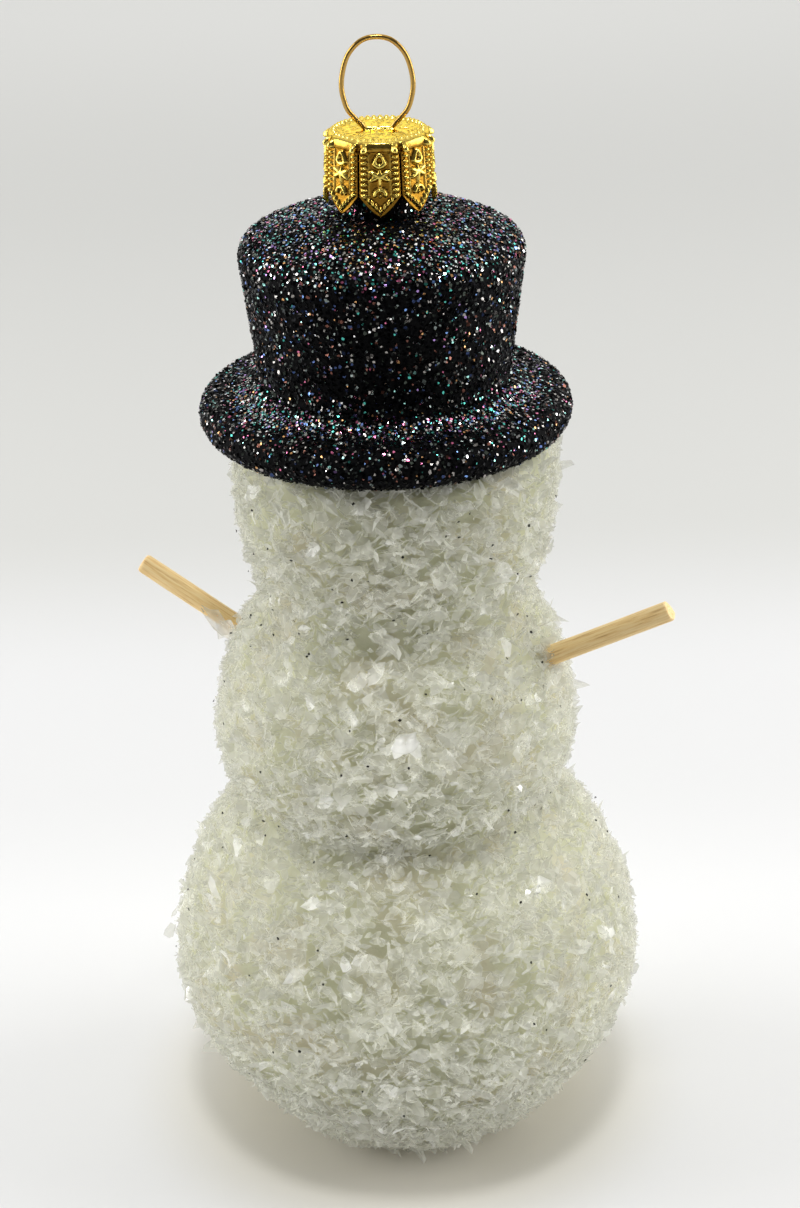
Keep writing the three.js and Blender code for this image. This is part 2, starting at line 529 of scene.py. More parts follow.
GLITTER_STOPS = [
    (0.00, (0.002, 0.002, 0.0025)),
    (0.44, (0.008, 0.009, 0.009)),
    (0.55, (0.05, 0.06, 0.05)),
    (0.60, (0.14, 0.06, 0.045)),
    (0.64, (0.04, 0.06, 0.14)),
    (0.67, (0.17, 0.20, 0.19)),
    (0.70, (0.34, 0.32, 0.30)),
    (0.77, (0.08, 0.44, 0.37)),
    (0.815, (0.62, 0.16, 0.30)),
    (0.85, (0.20, 0.36, 0.75)),
    (0.88, (0.70, 0.38, 0.16)),
    (0.905, (0.45, 0.28, 0.65)),
    (0.925, (0.45, 0.92, 0.84)),
    (0.955, (1.00, 1.00, 1.00)),
]


def hat_glitter():
    """Mirror-like grains, most of them dark and some in bright colours."""
    recipe = Recipe("hat_glitter")
    tint = recipe.kept("tint")
    colour = recipe.ramp(tint, GLITTER_STOPS, smooth=False)
    return recipe.painted(Base_Color=colour, Metallic=1.0, Roughness=recipe.spread(tint, 0.42, 0.16))


def gold(name, dark, bright, roughness):
    """Bright gold-coloured metal with painted light in its colour: where the stored raised share is high
    (the cap's relief and flat top) it is lighter, a painted highlight and reflection, and on the rest of the
    cap darker, a painted shade; faint handling marks vary it.
    """
    recipe = Recipe(name)
    place = recipe.object_place()
    wear = recipe.spread(recipe.noise(place, 1.5, 5.0), -0.25, 0.25)
    # The raised share is a painted highlight: it lightens the gold on relief and the top, and where it is
    # low the gold keeps a darker painted shade.
    raised = recipe.math("ADD", recipe.kept("raised"), wear)
    fine = recipe.noise(place, 6.0, 4.0)
    recipe.bump(fine, 0.00002)
    return recipe.painted(
        Base_Color=recipe.ramp(raised, [(0.05, dark), (0.75, bright)]),
        Specular_Tint=(1.0, 0.86, 0.42, 1.0),
        Metallic=1.0,
        Roughness=recipe.spread(fine, roughness * 0.7, roughness * 1.4),
    )


def stick_wood():
    """Pale craft-stick wood with fibres along its length and darker pores."""
    recipe = Recipe("stick_wood")
    stretched = (("Vector", recipe.kept("grain", "Vector")), ("Scale", (1.0, 1.0, 0.06)))
    along = recipe.add("ShaderNodeMapping", *stretched).outputs[0]
    fibres = recipe.noise(along, 5.0, 6.0, 0.65)
    light, mid, dark = (0.95, 0.72, 0.36), (0.82, 0.54, 0.21), (0.46, 0.22, 0.06)
    strand = recipe.ramp(fibres, [(0.33, dark), (0.43, mid), (0.58, light)])
    bands = recipe.noise(along, 1.3, 2.0)
    wide = recipe.ramp(bands, [(0.35, (0.88, 0.60, 0.26)), (0.65, (1.0, 0.80, 0.46))])
    recipe.bump(fibres, 0.00005)
    rough = recipe.spread(fibres, 0.75, 0.5)
    return recipe.painted(Base_Color=recipe.blend(0.35, strand, wide), Roughness=rough)


def pale_floor(settings):
    """A pale sheet with painted light and shade: a darker, warmer painted shadow at the ornament's foot,
    white round it, a greyer band of painted shade behind, pale again far off.
    """
    recipe = Recipe("pale_floor")
    place = recipe.add("ShaderNodeTexCoord").outputs["Object"]
    turned = recipe.add("ShaderNodeMapping", ("Vector", place), ("Rotation", (0, 0, -VIEW_TURN)))
    behind = recipe.add("ShaderNodeSeparateXYZ", ("Vector", turned.outputs[0])).outputs["Y"]
    around = recipe.add("ShaderNodeVectorMath", (0, place), operation="LENGTH").outputs["Value"]
    near, far = settings.floor_near, settings.floor_far
    colour = settings.floor_foot_shadow
    # Each step blends on: the foot's painted shadow fades to white, painted shade greys the floor behind,
    # and the floor pales again far off.
    for value, low, high, onward in (
        (around, settings.foot_shadow_core, settings.foot_shadow_reach, settings.floor_white),
        (behind, 0.2 * near, 0.7 * near, settings.floor_mid),
        (behind, near, far, settings.floor_shade),
        (behind, 2 * far, 4 * far, settings.floor_back),
    ):
        inputs = (("Value", value), ("From Min", low), ("From Max", high))
        share = recipe.add("ShaderNodeMapRange", *inputs, interpolation_type="SMOOTHSTEP")
        colour = recipe.blend(share.outputs["Result"], colour, onward)
    return recipe.painted(Base_Color=colour, Roughness=0.9, Specular_IOR_Level=0.1)


# ---- settings


def tone(name, colour, description):
    """A colour that a user may change."""
    return FloatVectorProperty(
        name=name, description=description, default=colour, subtype="COLOR", size=3, min=0, max=1
    )


def reach(name, millimetres, description):
    """A length that a user may change."""
    return FloatProperty(
        name=name, description=description, default=millimetres * MM, min=0, unit="LENGTH", precision=5
    )


def amount(name, count, description):
    """A number of small pieces on a square centimetre that a user may change."""
    description = f"{description} on a square centimetre"
    return FloatProperty(name=name, description=description, default=count, min=0)


class SnowmanSettings(bpy.types.PropertyGroup):
    """Sizes and colours of the snowman's pieces and its stage."""

    seed: IntProperty(name="Seed", description="Changes every random scatter", default=7, min=0)
    glass_inset: reach("Glass inset", 0.95, "How far the glass lies under the flakes' middle")
    glass_low: tone("Glass shade", (0.385, 0.385, 0.245), "Darker tone of the glass")
    glass_high: tone("Glass light", (0.48, 0.48, 0.33), "Lighter tone of the glass")
    glass_warm: tone("Glass warmth", (0.455, 0.415, 0.29), "Tone of the glass's warmer patches")
    flake_low: tone("Flake shade", (0.66, 0.66, 0.59), "Darkest flake")
    flake_mid: tone("Flake middle", (0.67, 0.667, 0.585), "Most common flake")
    flake_high: tone("Flake light", (0.725, 0.725, 0.665), "Whitest flake")
    # The flake rim tone is a painted highlight of edges catching light.
    flake_rim_highlight: tone("Flake rim", (0.72, 0.72, 0.665), "Bright rim of every flake")
    broad_flakes: amount("Broad flakes", 56, "Broad flakes")
    large_flakes: amount("Large flakes", 2.2, "Crumpled flakes")
    small_flakes: amount("Small flakes", 130, "Small flakes")
    ribbons: amount("Ribbons", 62, "Narrow standing strips")
    specks: amount("Specks", 2.4, "Black specks")
    grains: amount("Glitter grains", 900, "Dark grains")
    sparks: amount("Glitter sparks", 560, "Bright grains")
    wire_radius: reach("Wire radius", 0.25, "Half the hanger wire's thickness")
    # The floor's foot tone is a painted shadow with warm painted bounce light; the middle and far tones are
    # painted shade behind the ornament, and the back tone is pale again far off.
    floor_foot_shadow: tone("Floor foot", (0.67, 0.64, 0.565), "Warmer floor tone under the ornament")
    floor_white: tone("Floor near", (0.775, 0.775, 0.775), "Floor tone by the ornament")
    floor_mid: tone("Floor middle", (0.70, 0.70, 0.70), "Floor tone just behind the ornament")
    floor_shade: tone("Floor far", (0.595, 0.595, 0.575), "Floor tone further off")
    floor_back: tone("Floor back", (0.78, 0.78, 0.76), "Floor tone furthest off")
    foot_shadow_core: reach("Warm core", 17, "Where the floor's warm tone starts to fade")
    foot_shadow_reach: reach("Warm reach", 34, "Where the floor's warm tone has faded")
    floor_near: reach("White reach", 97, "Where the floor starts to turn grey")
    floor_far: reach("Grey start", 160, "Where the floor has turned grey")


# ---- body and its flakes


def sway(height):
    """How far the hand-blown balls stand off the axis at each height."""
    stations = np.array([0, 8, 14, 24, 34, 48, 62, 70, 76, 84]) * MM
    offsets = np.array([0.6, 0.7, 0.6, 0.4, 0.0, -0.2, 0.1, 0.4, 0.5, 0.5]) * MM
    return np.interp(height, stations, offsets)


def groove_heights():
    """Heights where the body's outline is narrowest between two balls."""
    radius, height = plane_outline("body")[0].T
    inner = range(3, len(radius) - 3)
    return [height[i] for i in inner if radius[i] < radius[i - 1] and radius[i] <= radius[i + 1]]


def glass_mesh(name, depth, segments):
    """The glass: the frame's outline pulled in under the flakes, but not at the foot."""
    outline, axis_x = plane_outline("body")
    wall = smoothed(outline[1:-1], 0.6 * MM)
    height, top = wall[:, 1], wall[-1, 1]
    share = np.clip(height / (5 * MM), 0, 1)
    share += 0.6 * sum(bell(height, groove, 4 * MM) for groove in groove_heights())
    low_belly = 1.25 * bell(height, 9 * MM, 7 * MM)
    wall = inset(wall, depth * (share + low_belly))
    wall[:, 1] = np.clip(wall[:, 1], 0, top)
    outline = np.vstack([[0, 0], wall, [0, wall[-1, 1]]])
    mesh = turned_mesh(name, outline, axis_x, segments, sway)
    places = vertex_values(mesh)
    level = np.clip(places[:, 2] / (6 * MM), 0, 1)
    radial = places * (1, 1, 0)
    length = np.linalg.norm(radial, axis=1, keepdims=True)
    radial = np.divide(radial, length, out=np.zeros_like(radial), where=length > 1e-6)
    put_vertex_places(mesh, places + radial * (noise_at(places, 55) * level * 0.35 * MM)[:, None])
    return mesh


def flake_cover(mesh):
    """Share of full cover at each vertex: thinner on undersides and in the grooves, none at the foot."""
    down = np.clip(-vertex_values(mesh, "normal")[:, 2], 0, 1)
    places = vertex_values(mesh)
    height = places[:, 2]
    bare = sum(bell(height, groove, 2.4 * MM) for groove in groove_heights())
    foot = np.clip((height - 0.4 * MM) / (1.5 * MM), 0, 1)
    hidden = np.clip((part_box("hat")[0][2] - 0.6 * MM - height) / (0.6 * MM), 0, 1)
    thick = 1.0 - 0.2 * down + 0.6 * noise_at(places, 160) - 0.3 * bare
    return np.clip(thick, 0.1, 1.4) * foot * hidden


def band_of(mesh, low, high, name):
    """A copy of the part of a mesh whose faces lie between two heights, with its cover values."""
    cover = np.empty(len(mesh.vertices))
    mesh.attributes["cover"].data.foreach_get("value", cover)
    kept = [p for p in mesh.polygons if low <= p.center.z < high]
    used = sorted({v for p in kept for v in p.vertices})
    renumber = {old: new for new, old in enumerate(used)}
    faces = [[renumber[v] for v in p.vertices] for p in kept]
    band = mesh_from(name, vertex_values(mesh)[used], faces)
    store(band, "cover", cover[used])
    return band


def ragged_ring(rng, count, longness):
    """A closed ragged ring of points around the origin, drawn out along X."""
    angles = (np.arange(count) + rng.uniform(-0.35, 0.35, count)) * 2 * math.pi / count
    radii = 0.5 * rng.uniform(0.55, 1.0, count)
    return np.stack([np.cos(angles) * radii * longness, np.sin(angles) * radii / longness], axis=1)


def crumpled(flat, rng, curl, dent):
    """Bends a flat flake about a random line and dents it."""
    turn = rng.uniform(0, math.pi)
    across = flat[:, 0] * math.cos(turn) + flat[:, 1] * math.sin(turn)
    height = curl * across**2 * 2 + dent * rng.uniform(-1, 1, len(flat))
    return np.column_stack([flat, height])


def film_mesh(name, vertices, faces, rim):
    """A flake that keeps how near each of its vertices is to the rim, which its material paints as a whiter
    rim, a painted highlight.
    """
    mesh = mesh_from(name, vertices, faces)
    store(mesh, "rim", np.append(rim, np.zeros(len(vertices) - len(rim))))
    return mesh


def shard_shape(name, rng, corners, longness, curl, dent, border=0):
    """One shard of film: a ragged rim, a middle point and, with a border, a ring inside the rim."""
    rim = ragged_ring(rng, corners, longness)
    rings = [rim, rim * border] if border else [rim]
    vertices = crumpled(np.vstack([*rings, [[0, 0]]]), rng, curl, dent)
    middle = len(vertices) - 1
    faces = fan_faces(middle - corners, corners, middle)
    if border:
        vertices[corners:-1, 2] = vertices[:corners, 2] * 0.8
        pairs = zip(ring_faces(0, corners), faces)
        faces = [face for pair in pairs for face in pair]
    return film_mesh(name, vertices, faces, np.ones(corners))


def ribbon_shape(name, rng, steps, width, bend):
    """A narrow strip of film standing on its edge, curved along its length and tapered."""
    along = np.linspace(-0.5, 0.5, steps + 1)
    sideways = bend * (along**2 - 0.1) + rng.uniform(-0.4, 0.4) * bend * np.sin(along * 2 * math.pi) * 0.5
    taper = np.sqrt(np.clip(1.05 - (2 * along) ** 2, 0.05, 1))
    lower = np.column_stack([along, sideways, -0.3 * width * taper])
    upper = np.column_stack([along, sideways + rng.uniform(-0.3, 0.3) * width, 0.7 * width * taper])
    faces = [(i, i + 1, steps + 2 + i, steps + 1 + i) for i in range(steps)]
    # Painted highlight: the upper edge gets the full rim tone and the lower edge less.
    rim = np.repeat([0.3, 1.0], steps + 1)
    return film_mesh(name, np.vstack([lower, upper]), faces, rim)


def crumpled_shape(name, rng, corners):
    """A large crumpled flake: three ragged rings with folds running across it."""
    rim = ragged_ring(rng, corners, rng.uniform(1.1, 1.45))
    flat = np.vstack([rim, rim * 0.8, rim * 0.42, [[0, 0]]])
    turn = rng.uniform(0, math.pi)
    fold = flat @ (math.cos(turn), math.sin(turn)) * rng.uniform(9, 14)
    vertices = crumpled(flat, rng, rng.uniform(-0.2, 0.5), 0.05)
    vertices[:, 2] += 0.06 * np.sin(fold + rng.uniform(0, 6))
    faces = ring_faces(0, corners) + ring_faces(corners, corners)
    faces += fan_faces(2 * corners, corners, 3 * corners)
    return film_mesh(name, vertices, faces, np.ones(corners))


def shape_collection(name, *meshes):
    """The shapes that a scatter picks from, kept out of the scene."""
    collection = bpy.data.collections.new(name)
    for mesh in meshes:
        collection.objects.link(bpy.data.objects.new(mesh.name, mesh))
    return collection


def drop_collection(collection):
    for piece in list(collection.objects):
        mesh = piece.data
        bpy.data.objects.remove(piece)
        bpy.data.meshes.remove(mesh)
    bpy.data.collections.remove(collection)


def flake_kinds(settings):
    """Each kind of flake: shapes, density, sizes, tilt, spin, lift, tint range and material."""
    rng = np.random.default_rng(settings.seed)

    def shard(name, corners, longness, curl, border):
        return shard_shape(name, rng, corners, rng.uniform(*longness), rng.uniform(*curl), 0.1, border)

    def ribbon(name):
        return ribbon_shape(name, rng, 5, rng.uniform(0.14, 0.3), rng.uniform(-1.6, 1.6))

    broad = [shard(f"broad_{i}", 8, (1.05, 1.5), (-0.3, 0.5), 0.86) for i in range(12)]
    chips = [shard(f"chip_{i}", 6, (1.1, 1.7), (-0.5, 0.7), 0) for i in range(10)]
    ribbons = [ribbon(f"ribbon_{i}") for i in range(10)]
    large = [crumpled_shape(f"large_{i}", rng, 10) for i in range(10)]
    film = snow_flakes("snow_flakes", settings, 0.34, 0.85)
    edges = snow_flakes("snow_ribbons", settings, 0.45, 0.85)
    kinds = (
        ("broad", broad, settings.broad_flakes, (1.5, 3.0), 25, 60, (0.15, 0.8), (0, 1), film),
        ("chips", chips, settings.small_flakes, (0.8, 1.7), 47, 60, (0.1, 0.85), (0, 1), film),
        ("ribbons", ribbons, settings.ribbons, (1.2, 2.9), 42, 50, (0.1, 0.7), (0.2, 0.97), edges),
        ("large", large, settings.large_flakes, (2.3, 3.6), 22, 90, (0.45, 0.9), (0.6, 0.93), film),
    )
    return [(kind, shape_collection(kind, *meshes), *rest) for kind, meshes, *rest in kinds]


class SNOWMAN_OT_body(bpy.types.Operator):
    """Makes the glass of the three balls"""

    bl_idname = "snowman.body"
    bl_label = "Glass body"

    def execute(self, context):
        settings = context.scene.snowman
        mesh = glass_mesh("glass_body", settings.glass_inset, 160)
        piece = new_object("glass_body", mesh)
        finish_piece(piece, frosted_glass(settings), "body")
        return {"FINISHED"}


class SNOWMAN_OT_flakes(bpy.types.Operator):
    """Strews the snow flakes over the three balls"""

    bl_idname = "snowman.flakes"
    bl_label = "Snow flakes"

    def execute(self, context):
        settings = context.scene.snowman
        whole = glass_mesh("flake_host", settings.glass_inset, 120)
        store(whole, "cover", flake_cover(whole))
        tree = scatter_tree()
        bands = (0, 19, "base_low"), (19, 41, "base_high"), (41, 64.5, "middle"), (64.5, 84, "head")
        kinds = flake_kinds(settings)
        for row, (low, high, band) in enumerate(bands):
            surface = band_of(whole, low * MM, high * MM, f"host_{band}")
            for column, (kind, shapes, density, sizes, tilt, spin, *looks, material) in enumerate(kinds):
                seed = settings.seed + 10 * row + column
                spread = (shapes, density, sizes, tilt, spin, 1.0, *looks, seed, material)
                piece = strewn_piece(f"flakes_{kind}_{band}", "frosted_glass", surface, tree, *spread)
                piece.visible_shadow = False
        for _, shapes, *_ in kinds:
            drop_collection(shapes)
        return {"FINISHED"}


def set_flakes():
    """Big flakes with places of their own: (middle, outward, size, spin, tint) for each."""
    radius, height = plane_outline("body")[0][2:-1].T
    flakes = []
    for turn, up, proud, size, lean, spin, tint in (
        (-69, 55.6, 0.35, 3.1, 0.7, 0.4, 0.985),
        (-66.5, 55.0, 0.25, 2.4, 0.1, 2.0, 0.98),
        (-71, 54.8, 0.25, 2.2, 1.1, 1.0, 0.985),
        (-157, 22.8, 0.45, 2.7, 1.6, 0.1, 0.8),
        (-157, 25.2, 0.2, 1.8, 0.7, 1.3, 0.6),
    ):
        outward = Vector((math.cos(math.radians(turn)), math.sin(math.radians(turn)), 0))
        reach_out = float(np.interp(up * MM, height, radius)) + proud * MM
        middle = outward * reach_out + Vector((0, 0, up * MM))
        flakes.append((middle, (outward + Vector((0, 0, lean))).normalized(), size, spin, tint))
    root, tip, stick = stick_ends("arm_left")
    along = (tip - root) / np.linalg.norm(tip - root)
    front = (Vector(TOWARDS_VIEWER) + Vector((-0.6, 0, -0.1))).normalized()
    for run, drop, size, spin, tint in ((5.0, 0.0, 4.0, -0.5, 0.75), (3.6, -0.1, 3.2, 1.0, 0.985)):
        on_stick = Vector(root + along * run * MM) - Vector((0, 0, drop * MM))
        flakes.append((on_stick + front * (stick + 0.15 * MM), front, size, spin, tint))
    return flakes


def collar_flakes(rng, node, exit_radius):
    """Flakes heaped round a stick where it leaves the body."""
    root, tip, stick = (Vector(v) if np.ndim(v) else v for v in stick_ends(node))
    along = (tip - root).normalized()
    exit_point = root + along * ((exit_radius - abs(root.x)) / abs(along.x))
    side = along.orthogonal().normalized()
    flakes = []
    for step in range(6):
        around = Matrix.Rotation(step * math.tau / 6 + rng.uniform(-0.3, 0.3), 3, along) @ side
        face = around * 0.5 + Vector(TOWARDS_VIEWER) * 0.9 + along * rng.uniform(0.1, 0.5)
        middle = exit_point + around * (stick + 0.5 * MM) + along * rng.uniform(-0.6, 0.1) * MM
        size, spin, tint = rng.uniform(1.3, 2.0), rng.uniform(0, 6), rng.uniform(0.7, 0.96)
        flakes.append((middle, face.normalized(), size, spin, tint))
    return flakes


class SNOWMAN_OT_set_flakes(bpy.types.Operator):
    """Lays the few big flakes that stand out from the rest"""

    bl_idname = "snowman.set_flakes"
    bl_label = "Set flakes"

    def execute(self, context):
        rng = np.random.default_rng(context.scene.snowman.seed + 4)
        vertices, faces, rims, tints = [], [], [], []
        flakes = set_flakes() + collar_flakes(rng, "arm_left", 17.4 * MM)
        flakes += collar_flakes(rng, "arm_right", 17.2 * MM)
        for middle, face, size, spin, tint in flakes:
            shape = crumpled_shape("set_flake", rng, 12)
            turn = face.to_track_quat("Z", "Y").to_matrix() @ Matrix.Rotation(spin, 3, "Z")
            start = len(vertices)
            vertices += [middle + turn @ vertex.co * (size * MM) for vertex in shape.vertices]
            faces += [[start + v for v in p.vertices] for p in shape.polygons]
            rims += [value.value for value in shape.attributes["rim"].data]
            tints += [tint] * len(shape.vertices)
            bpy.data.meshes.remove(shape)
        mesh = mesh_from("set_flakes", vertices, faces)
        store(mesh, "rim", rims)
        store(mesh, "tint", tints)
        piece = new_object("set_flakes", mesh)
        piece.visible_shadow = False
        finish_piece(piece, bpy.data.materials["snow_flakes"])
        return {"FINISHED"}


# ---- hat and its glitter


def hat_outline():
    """The hat's outline, smoothed up to the foot of the neck."""
    outline, axis_x = plane_outline("hat")
    dome = int(np.argmax(outline[:, 1] > 104.4 * MM))
    visible = smoothed(outline[1 : dome + 1], 0.4 * MM)
    return np.vstack([outline[:1], visible, outline[dome + 1 :]]), axis_x


class SNOWMAN_OT_hat(bpy.types.Operator):
    """Makes the hat under its glitter"""

    bl_idname = "snowman.hat"
    bl_label = "Top hat"

    def execute(self, context):
        piece = new_object("top_hat", turned_mesh("top_hat", *hat_outline(), 144))
        finish_piece(piece, hat_black(), "hat")
        return {"FINISHED"}


def glitter_cover_and_highlights(mesh, axis_x, upright):
    """Where glitter sticks: full on faces that look up and only the upright share on walls, so a low share
    thins the bright sparks on walls and undersides as painted shade; on the brim such sparks are thinned to
    0.4 as painted shade and heaped on the slope in front, towards the viewer, as a painted highlight band.
    """
    places = vertex_values(mesh)
    up = np.clip(vertex_values(mesh, "normal")[:, 2] * 2.0 - 0.15, 0, 1)
    radius = np.hypot(places[:, 0] - axis_x, places[:, 1])
    low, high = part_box("hat")
    under_cap = (radius > 3.6 * MM) & (places[:, 2] < high[2] - 4 * MM)
    open_side = (places[:, 2] > low[2] + 0.1 * MM) | (radius > 14 * MM)
    on_brim = places[:, 2] < low[2] + BRIM_HEIGHT
    # Painted highlight: bright sparks on the brim's slope facing the viewer rise to 3.2 times, while the
    # rest of the brim keeps 0.4 of them as painted shade.
    nearness = (places[:, 0] * TOWARDS_VIEWER[0] + places[:, 1] * TOWARDS_VIEWER[1]) / (14 * MM)
    slope = bell(radius, 14.5 * MM, 1.3 * MM) * np.clip(nearness + 0.3, 0, 1)
    brim_highlight = np.where(on_brim & (upright < 1), 0.4 + 2.8 * slope, 1.0)
    return (upright + (1 - upright) * up) * brim_highlight * under_cap * open_side


class SNOWMAN_OT_glitter(bpy.types.Operator):
    """Coats the hat with dark glitter and brighter sparks"""

    bl_idname = "snowman.glitter"
    bl_label = "Hat glitter"

    def execute(self, context):
        settings = context.scene.snowman
        rng = np.random.default_rng(settings.seed + 1)
        tree = scatter_tree()
        outline, axis_x = hat_outline()
        whole = turned_mesh("glitter_host", outline, axis_x, 96)
        meshes = [shard_shape(f"grain_{i}", rng, 5, 1.0, 0.0, 0.02) for i in range(6)]
        grains = shape_collection("grains", *meshes)
        material = hat_glitter()
        bottom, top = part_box("hat")[0][2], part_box("hat")[1][2]
        zones = [(0, bottom + BRIM_HEIGHT, "brim"), (bottom + BRIM_HEIGHT, top, "crown")]
        # The third column is the upright share: dark grains lie evenly, while the bright sparks' low share
        # thins them on walls as painted shade.
        coats = [
            ("dark", settings.grains, 1.0, 34, (0.30, 0.60), (0.0, 0.12), (0.0, 0.735)),
            ("bright", settings.sparks, 0.13, 22, (0.2, 0.46), (0.06, 0.18), (0.70, 1.0)),
        ]
        for column, (coat, density, upright, tilt, sizes, lift, tint) in enumerate(coats):
            store(whole, "cover", glitter_cover_and_highlights(whole, axis_x, upright))
            for row, (low, high, zone) in enumerate(zones):
                surface = band_of(whole, low, high, f"host_{zone}")
                seed = settings.seed + 100 + 10 * column + row
                spread = (grains, density, sizes, tilt, 180, 0.0, lift, tint, seed, material)
                strewn_piece(f"glitter_{coat}_{zone}", "hat_glitter", surface, tree, *spread)
        drop_collection(grains)
        return {"FINISHED"}


class SNOWMAN_OT_specks(bpy.types.Operator):
    """Drops stray specks of the hat's glitter on the snow"""

    bl_idname = "snowman.specks"
    bl_label = "Stray specks"

    def execute(self, context):
        settings = context.scene.snowman
        rng = np.random.default_rng(settings.seed + 2)
        body = glass_mesh("speck_host", settings.glass_inset, 96)
        levels = np.array([0, 4, 20, 45, 55, 80, 82]) * MM
        cover = np.interp(vertex_values(body)[:, 2], levels, [0, 0, 0.5, 0.9, 1.3, 1.5, 0.2])
        store(body, "cover", cover)
        meshes = [shard_shape(f"speck_{i}", rng, 6, 1.0, 0.4, 0.12) for i in range(5)]
        chips = shape_collection("specks", *meshes)
        sizes, lift, tint = (0.32, 0.48), (1.0, 1.4), (0.0, 1.0)
        spread = (settings.specks, sizes, 30, 180, 0.0, lift, tint, settings.seed + 200, black_chips())
        strewn_piece("stray_specks", "hat_glitter", body, scatter_tree(), chips, *spread)
        drop_collection(chips)
        return {"FINISHED"}


# ---- gold cap


CAP_WALL = {
    "tip_radius": 5.5 * MM,
    "edge_radius": 5.12 * MM,
    "edge_height": 0.8 * MM,
    "top_radius": 4.6 * MM,
    "slit": 0.13 * MM,
    "slit_top": 1.0 * MM,
    "point": 1.9 * MM,
    "sheet": 0.22 * MM,
    "relief": 0.34 * MM,
}


def bead(across, along, wide, tall):
    """Height from 0 to 1 of a rounded bead at the origin."""
    return np.sqrt(np.clip(1 - (across / wide) ** 2 - (along / tall) ** 2, 0, 1))


def bead_row(across, along, pitch, wide, tall):
    """A row of beads along one direction."""
    return bead(across, (along + pitch / 2) % pitch - pitch / 2, wide, tall)


def leaf(across, along, foot, turn, length, width):
    """A pointed leaf that starts on the middle line at its foot and leans by turn."""
    rise = along - foot
    run = across * math.sin(turn) + rise * math.cos(turn)
    side = across * math.cos(turn) - rise * math.sin(turn)
    share = np.clip(run / length, 0, 1)
    half = np.maximum(width * np.sin(share * math.pi) ** 0.8, 1e-9)
    return np.where((share > 0) & (share < 1), np.clip(1 - (side / half) ** 2, 0, 1) ** 0.5, 0)


def hoop(across, along, wide, tall, thick):
    """A raised oval ring around the origin."""
    distance = np.hypot(across / wide, along / tall)
    return np.clip(1 - ((distance - 1) * wide / thick) ** 2, 0, 1) ** 0.5


def petal_relief(across, above_tip, half_width, edge_rise):
    """Pressed pattern of one petal, from 0 to 1: beads along its edges, a flower in the middle."""
    point = CAP_WALL["point"]
    pitch, margin, wide, tall = 0.52 * MM, 0.42 * MM, 0.3 * MM, 0.2 * MM
    straight = above_tip > point + 0.1 * MM
    side = half_width - np.abs(across)
    along_side = bead_row(side - margin, above_tip, pitch, wide, tall)
    slope = math.atan2(point, half_width)
    from_edge = (above_tip - np.abs(across) * math.tan(slope)) * math.cos(slope)
    down_edge = np.abs(across) / math.cos(slope)
    along_point = bead_row(from_edge - margin, down_edge, pitch, 0.85 * wide, tall)
    drop = 1 + 0.5 * np.clip((above_tip - 5.4 * MM) / (0.55 * MM), -0.5, 1)
    low_hoop = hoop(across, above_tip - 2.1 * MM, 0.5 * MM, 0.52 * MM, 0.2 * MM)
    pattern = [
        np.where(straight, along_side * (above_tip < edge_rise), along_point),
        0.4 * bell(side, 0.86 * MM, 0.1 * MM) * straight,
        hoop(across * drop, above_tip - 5.4 * MM, 0.40 * MM, 0.55 * MM, 0.2 * MM),
        bead(across, above_tip - 3.7 * MM, 0.17 * MM, 1.0 * MM),
        low_hoop * (above_tip > 2.0 * MM),
        0.7 * bead(across, above_tip - 2.05 * MM, 0.16 * MM, 0.2 * MM),
    ]
    for turn in (-66, 66, -116, 116):
        pattern.append(leaf(across, above_tip, 3.95 * MM, math.radians(turn), 1.08 * MM, 0.27 * MM))
    return np.maximum.reduce(pattern)


def top_relief(radius, angle, ring_radius, leg):
    """Pattern of the flat top: a beaded ring, a fine grain and a fold between the wire's legs."""
    pitch = 2 * math.pi * ring_radius / 44
    ticks = 0.95 * bead_row(radius - ring_radius, angle * ring_radius, pitch, 0.34 * MM, 0.25 * MM)
    x, y = radius * np.cos(angle - HEADWEAR_TURN), radius * np.sin(angle - HEADWEAR_TURN)
    fold = 1.3 * np.clip(1 - (y / (0.3 * MM)) ** 2, 0, 1) ** 0.5 * (np.abs(x) < leg)
    rough = np.array([noise.noise(Vector((a, b, 0)) / (0.4 * MM)) for a, b in zip(x, y)])
    grain = np.clip(rough, 0, 0.5) * (radius < ring_radius - 0.35 * MM)
    moat = 0.4 * bell(radius, ring_radius - 0.5 * MM, 0.12 * MM)
    return np.maximum.reduce([ticks, fold, grain]) - moat


